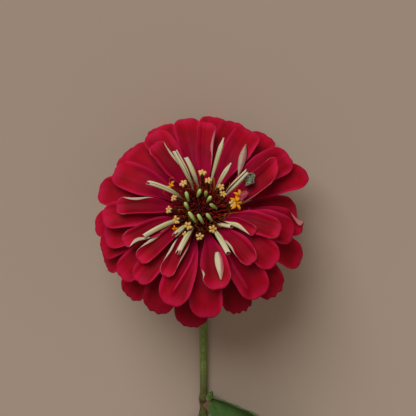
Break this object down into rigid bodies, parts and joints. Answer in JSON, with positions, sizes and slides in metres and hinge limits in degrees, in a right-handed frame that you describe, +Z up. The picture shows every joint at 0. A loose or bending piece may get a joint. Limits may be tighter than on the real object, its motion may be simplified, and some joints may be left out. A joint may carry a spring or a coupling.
{
  "type": "zinnia flower",
  "caption": "Zinnia flower with layered crimson ray petals around a disc of small florets, on a bent leafy stem, cut and lying down with its face turned up.",
  "frame": {"origin": "on the surface the flower lies on, under the middle of its bounding box", "axes": "+Z up from the surface; +Y back along the stem to its cut end; the face of the flower looks towards -Y and up"},
  "size_m": [0.0904, 0.164, 0.0596],
  "materials": {
    "petal": "velvety crimson ray petal with a pale green underside, modelled as soft fabric",
    "young_petal": "rolled young ray petal that shows its pale green underside",
    "disc": "dark red chaffy disc with yellow open florets and green closed ones",
    "bract": "green overlapping bracts with dark margins",
    "stem": "olive green, ribbed and finely hairy",
    "leaf": "rough dark green leaf with three main veins"
  },
  "bodies": {
    "root": {"outer_petal_01": "petal", "outer_petal_02": "petal", "outer_petal_03": "petal", "outer_petal_04": "petal", "outer_petal_05": "petal", "outer_petal_06": "petal", "outer_petal_07": "petal", "outer_petal_08": "petal", "outer_petal_09": "petal", "outer_petal_10": "petal", "outer_petal_11": "petal", "second_petal_01": "petal", "second_petal_02": "petal", "second_petal_03": "petal", "second_petal_04": "petal", "second_petal_05": "petal", "second_petal_06": "petal", "middle_petal_01": "petal", "middle_petal_02": "petal", "middle_petal_03": "petal", "middle_petal_04": "petal", "middle_petal_05": "petal", "middle_petal_06": "petal", "middle_petal_07": "petal", "middle_petal_08": "petal", "middle_petal_09": "petal", "middle_petal_10": "petal", "upper_petal_01": "petal", "upper_petal_02": "petal", "upper_petal_03": "petal", "upper_petal_04": "petal", "upper_petal_05": "petal", "upper_petal_06": "petal", "upper_petal_07": "petal", "inner_petal_01": "petal", "inner_petal_02": "petal", "inner_petal_03": "petal", "inner_petal_04": "petal", "inner_petal_05": "petal", "inner_petal_06": "petal", "inner_petal_07": "petal", "inner_petal_08": "petal", "inner_petal_09": "petal", "young_petal_01": "young_petal", "young_petal_02": "young_petal", "young_petal_03": "young_petal", "young_petal_04": "young_petal", "young_petal_05": "young_petal", "young_petal_06": "young_petal", "young_petal_07": "young_petal", "young_petal_08": "young_petal", "young_petal_09": "young_petal", "young_petal_10": "young_petal", "young_petal_11": "young_petal", "young_petal_12": "young_petal", "disc": "disc", "involucre": "bract", "stem": "stem", "leaf_right": "leaf", "leaf_left": "leaf"}
  },
  "joints": []
}
